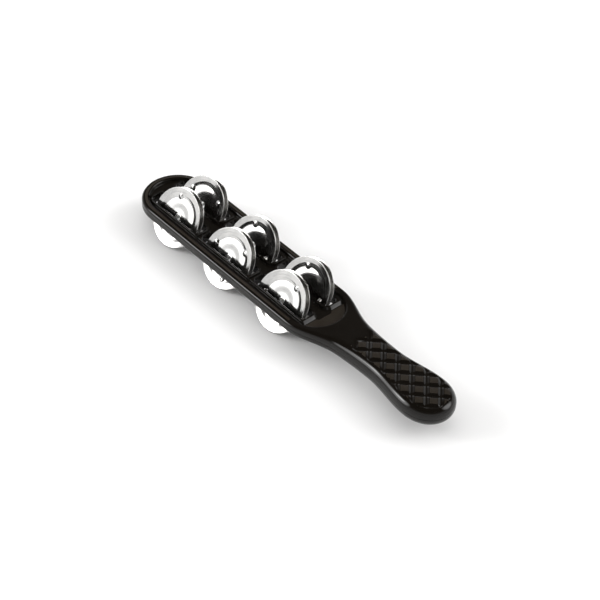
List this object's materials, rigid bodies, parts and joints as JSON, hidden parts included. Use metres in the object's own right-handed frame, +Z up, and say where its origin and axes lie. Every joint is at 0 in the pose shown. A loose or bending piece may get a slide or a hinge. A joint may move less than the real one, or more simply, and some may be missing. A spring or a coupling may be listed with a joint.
{
  "type": "jingle stick",
  "caption": "Hand-held tambourine stick: a moulded two-shell body with a patterned grip and slots that hold pairs of steel jingles hanging on cross pins.",
  "frame": {"origin": "middle of the footprint, at the level of the lowest jingle rims", "axes": "+X along the stick towards the grip, +Z up out of the upper shell, +Y to the right seen from the grip's end"},
  "size_m": [0.2762, 0.0486, 0.0357],
  "materials": {
    "black_plastic": "glossy black injection-moulded ABS",
    "nickel_plate": "bright nickel-plated pressed steel",
    "pin_steel": "plain drawn steel wire"
  },
  "bodies": {
    "stick": {"upper_shell": "black_plastic", "lower_shell": "black_plastic", "pin_left_1": "pin_steel", "pin_right_1": "pin_steel", "pin_left_2": "pin_steel", "pin_right_2": "pin_steel", "pin_left_3": "pin_steel", "pin_right_3": "pin_steel"},
    "jingle_left_1_outer": {"jingle_left_1_outer": "nickel_plate"},
    "jingle_left_1_inner": {"jingle_left_1_inner": "nickel_plate"},
    "jingle_right_1_inner": {"jingle_right_1_inner": "nickel_plate"},
    "jingle_right_1_outer": {"jingle_right_1_outer": "nickel_plate"},
    "jingle_left_2_outer": {"jingle_left_2_outer": "nickel_plate"},
    "jingle_left_2_inner": {"jingle_left_2_inner": "nickel_plate"},
    "jingle_right_2_inner": {"jingle_right_2_inner": "nickel_plate"},
    "jingle_right_2_outer": {"jingle_right_2_outer": "nickel_plate"},
    "jingle_left_3_outer": {"jingle_left_3_outer": "nickel_plate"},
    "jingle_left_3_inner": {"jingle_left_3_inner": "nickel_plate"},
    "jingle_right_3_inner": {"jingle_right_3_inner": "nickel_plate"},
    "jingle_right_3_outer": {"jingle_right_3_outer": "nickel_plate"}
  },
  "joints": [
    {"name": "lean_left_1_outer", "type": "hinge", "parent": "stick", "child": "jingle_left_1_outer", "pos_m": [-0.1011, -0.01065, 0.01826], "axis": [1, 0, 0], "range_deg": [0, 64]},
    {"name": "lean_left_1_inner", "type": "hinge", "parent": "stick", "child": "jingle_left_1_inner", "pos_m": [-0.1011, -0.00965, 0.01826], "axis": [1, 0, 0], "range_deg": [0, 64]},
    {"name": "lean_right_1_inner", "type": "hinge", "parent": "stick", "child": "jingle_right_1_inner", "pos_m": [-0.1011, 0.00965, 0.01826], "axis": [1, 0, 0], "range_deg": [0, 64]},
    {"name": "lean_right_1_outer", "type": "hinge", "parent": "stick", "child": "jingle_right_1_outer", "pos_m": [-0.1011, 0.01065, 0.01826], "axis": [1, 0, 0], "range_deg": [0, 64]},
    {"name": "lean_left_2_outer", "type": "hinge", "parent": "stick", "child": "jingle_left_2_outer", "pos_m": [-0.0496, -0.01065, 0.01826], "axis": [1, 0, 0], "range_deg": [0, 64]},
    {"name": "lean_left_2_inner", "type": "hinge", "parent": "stick", "child": "jingle_left_2_inner", "pos_m": [-0.0496, -0.00965, 0.01826], "axis": [1, 0, 0], "range_deg": [0, 64]},
    {"name": "lean_right_2_inner", "type": "hinge", "parent": "stick", "child": "jingle_right_2_inner", "pos_m": [-0.0496, 0.00965, 0.01826], "axis": [1, 0, 0], "range_deg": [0, 64]},
    {"name": "lean_right_2_outer", "type": "hinge", "parent": "stick", "child": "jingle_right_2_outer", "pos_m": [-0.0496, 0.01065, 0.01826], "axis": [1, 0, 0], "range_deg": [0, 64]},
    {"name": "lean_left_3_outer", "type": "hinge", "parent": "stick", "child": "jingle_left_3_outer", "pos_m": [0.0019, -0.01065, 0.01826], "axis": [1, 0, 0], "range_deg": [0, 64]},
    {"name": "lean_left_3_inner", "type": "hinge", "parent": "stick", "child": "jingle_left_3_inner", "pos_m": [0.0019, -0.00965, 0.01826], "axis": [1, 0, 0], "range_deg": [0, 64]},
    {"name": "lean_right_3_inner", "type": "hinge", "parent": "stick", "child": "jingle_right_3_inner", "pos_m": [0.0019, 0.00965, 0.01826], "axis": [1, 0, 0], "range_deg": [0, 64]},
    {"name": "lean_right_3_outer", "type": "hinge", "parent": "stick", "child": "jingle_right_3_outer", "pos_m": [0.0019, 0.01065, 0.01826], "axis": [1, 0, 0], "range_deg": [0, 64]}
  ],
  "couplings": [
    {"joint": "lean_left_1_inner", "follows": "lean_left_1_outer", "ratio": 1},
    {"joint": "lean_right_1_inner", "follows": "lean_left_1_outer", "ratio": 1},
    {"joint": "lean_right_1_outer", "follows": "lean_left_1_outer", "ratio": 1},
    {"joint": "lean_left_2_inner", "follows": "lean_left_2_outer", "ratio": 1},
    {"joint": "lean_right_2_inner", "follows": "lean_left_2_outer", "ratio": 1},
    {"joint": "lean_right_2_outer", "follows": "lean_left_2_outer", "ratio": 1},
    {"joint": "lean_left_3_inner", "follows": "lean_left_3_outer", "ratio": 1},
    {"joint": "lean_right_3_inner", "follows": "lean_left_3_outer", "ratio": 1},
    {"joint": "lean_right_3_outer", "follows": "lean_left_3_outer", "ratio": 1}
  ]
}
